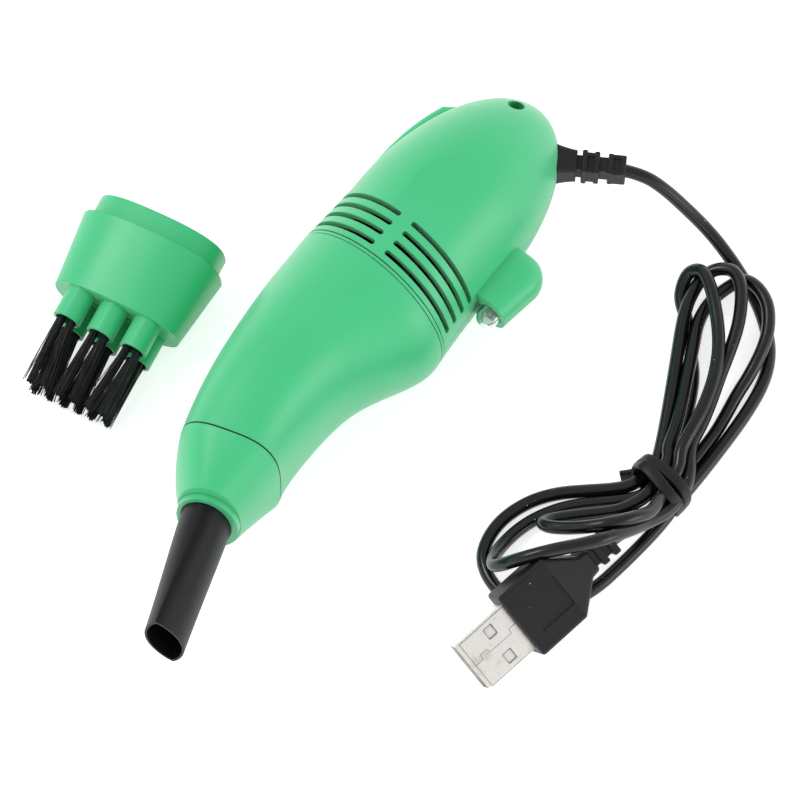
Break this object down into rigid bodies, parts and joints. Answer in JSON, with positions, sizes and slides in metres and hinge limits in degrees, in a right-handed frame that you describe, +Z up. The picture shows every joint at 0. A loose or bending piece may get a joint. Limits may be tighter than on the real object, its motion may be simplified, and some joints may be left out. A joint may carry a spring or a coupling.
{
  "type": "desktop mini vacuum cleaner",
  "caption": "Small cable-powered hand vacuum with a green two-part body, crevice nozzle, tail lamp, slide switch, tied power cable and a separate brush head.",
  "frame": {"origin": "middle of the resting flat on the lower side face, straight below the motor axis, so the table is z = 0", "axes": "+X along the motor axis towards the cable end, +Y towards the switch side, +Z up from the table towards the upper side face"},
  "size_m": [0.1568, 0.1413, 0.04],
  "materials": {
    "green": "satin moulded",
    "screw": "zinc plated",
    "black_plastic": "satin moulded",
    "filter_cloth": "non-woven",
    "fan_plastic": "moulded",
    "steel": "plated",
    "magnet": "dark, dull",
    "brass": "tinned",
    "clear_lens": "clear, glossy",
    "resistor": "lacquered",
    "tube_black": "satin",
    "cable_black": "satin",
    "plug_metal": "plated, satin",
    "plug_black": "satin",
    "white_plastic": "moulded",
    "gold": "gold plated",
    "bristle": "nylon",
    "wire_red": "insulation"
  },
  "bodies": {
    "housing": {"housing_left": "green", "housing_right": "green", "housing_screw": "screw", "fan_cover": "green", "motor_can": "steel", "motor_end_cap": "black_plastic", "motor_magnets": "magnet", "motor_terminals": "brass", "motor_bulkhead": "black_plastic", "motor_screws": "screw", "switch_case": "steel", "switch_plate": "steel", "switch_pins": "brass", "led": "clear_lens", "led_leads": "steel", "led_resistor": "resistor", "strain_relief": "cable_black", "cable_lead": "cable_black", "cable_bundle": "cable_black", "cable_tie": "cable_black", "usb_shell": "plug_metal", "usb_overmould": "plug_black", "usb_tongue": "white_plastic", "usb_contacts": "gold", "inner_wires": "wire_red"},
    "fan": {"fan_wheel": "fan_plastic", "motor_shaft": "steel", "motor_armature": "magnet"},
    "switch": {"switch_knob": "black_plastic", "switch_lever": "black_plastic"},
    "filter": {"filter_basket": "black_plastic", "filter_cloth": "filter_cloth"},
    "chamber": {"dust_chamber": "green"},
    "cap": {"nozzle_cap": "green"},
    "tube": {"crevice_tube": "tube_black"},
    "brush": {"brush_head": "green", "brush_bristles": "bristle"}
  },
  "joints": [
    {"name": "fan_spin", "type": "hinge", "parent": "housing", "child": "fan", "pos_m": [-0.019, 0, 0.02], "axis": [1, 0, 0], "continuous": true},
    {"name": "switch_slide", "type": "slide", "parent": "housing", "child": "switch", "axis": [0.9925, -0.1219, 0], "range_m": [0, 0.003]},
    {"name": "filter_pull", "type": "slide", "parent": "housing", "child": "filter", "axis": [-1, 0, 0], "range_m": [0, 0.0055]},
    {"name": "chamber_pull", "type": "slide", "parent": "housing", "child": "chamber", "axis": [-1, 0, 0], "range_m": [0, 0.01]},
    {"name": "cap_pull", "type": "slide", "parent": "chamber", "child": "cap", "axis": [-0.9511, -0.309, 0], "range_m": [0, 0.007]},
    {"name": "tube_pull", "type": "slide", "parent": "cap", "child": "tube", "axis": [-0.9171, -0.3987, 0], "range_m": [0, 0.008]},
    {"name": "brush_lift", "type": "slide", "parent": "housing", "child": "brush", "axis": [0, 0, 1], "range_m": [0, 0.02]}
  ]
}
